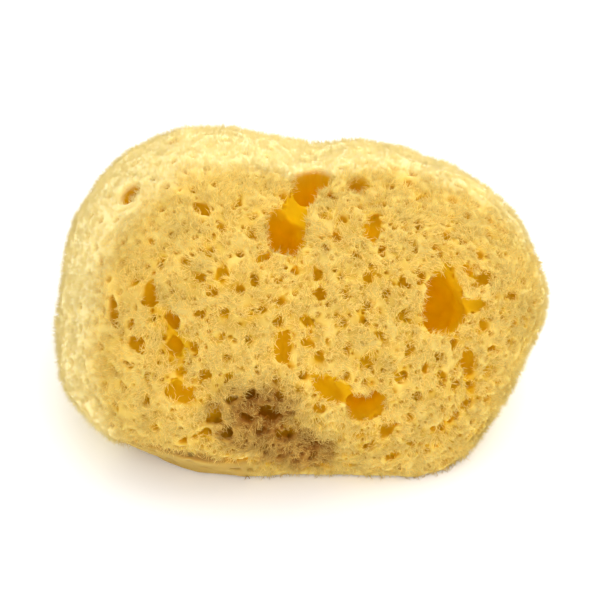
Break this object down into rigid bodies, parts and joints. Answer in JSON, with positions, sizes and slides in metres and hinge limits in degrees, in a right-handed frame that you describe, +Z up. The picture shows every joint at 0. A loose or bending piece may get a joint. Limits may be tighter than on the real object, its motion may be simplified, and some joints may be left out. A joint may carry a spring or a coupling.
{
  "type": "sea sponge",
  "caption": "Dried natural sea sponge, a rounded loaf of soft porous fibre with wide holes on its crown and sides, cut flat to rest, for washing and bathing.",
  "frame": {"origin": "on the surface that the sponge rests on, below the centre of its bounding box", "axes": "+X to the right along its greatest width, +Y to the back, +Z up from the flat cut, its least extent; the front with the brown stain faces -Y"},
  "size_m": [0.1238, 0.092, 0.0668],
  "materials": {
    "sponge_fibre": "matt and velvety, honey yellow, orange deep in the holes and brown low on the front"
  },
  "bodies": {
    "root": {"sponge": "sponge_fibre"}
  },
  "joints": []
}
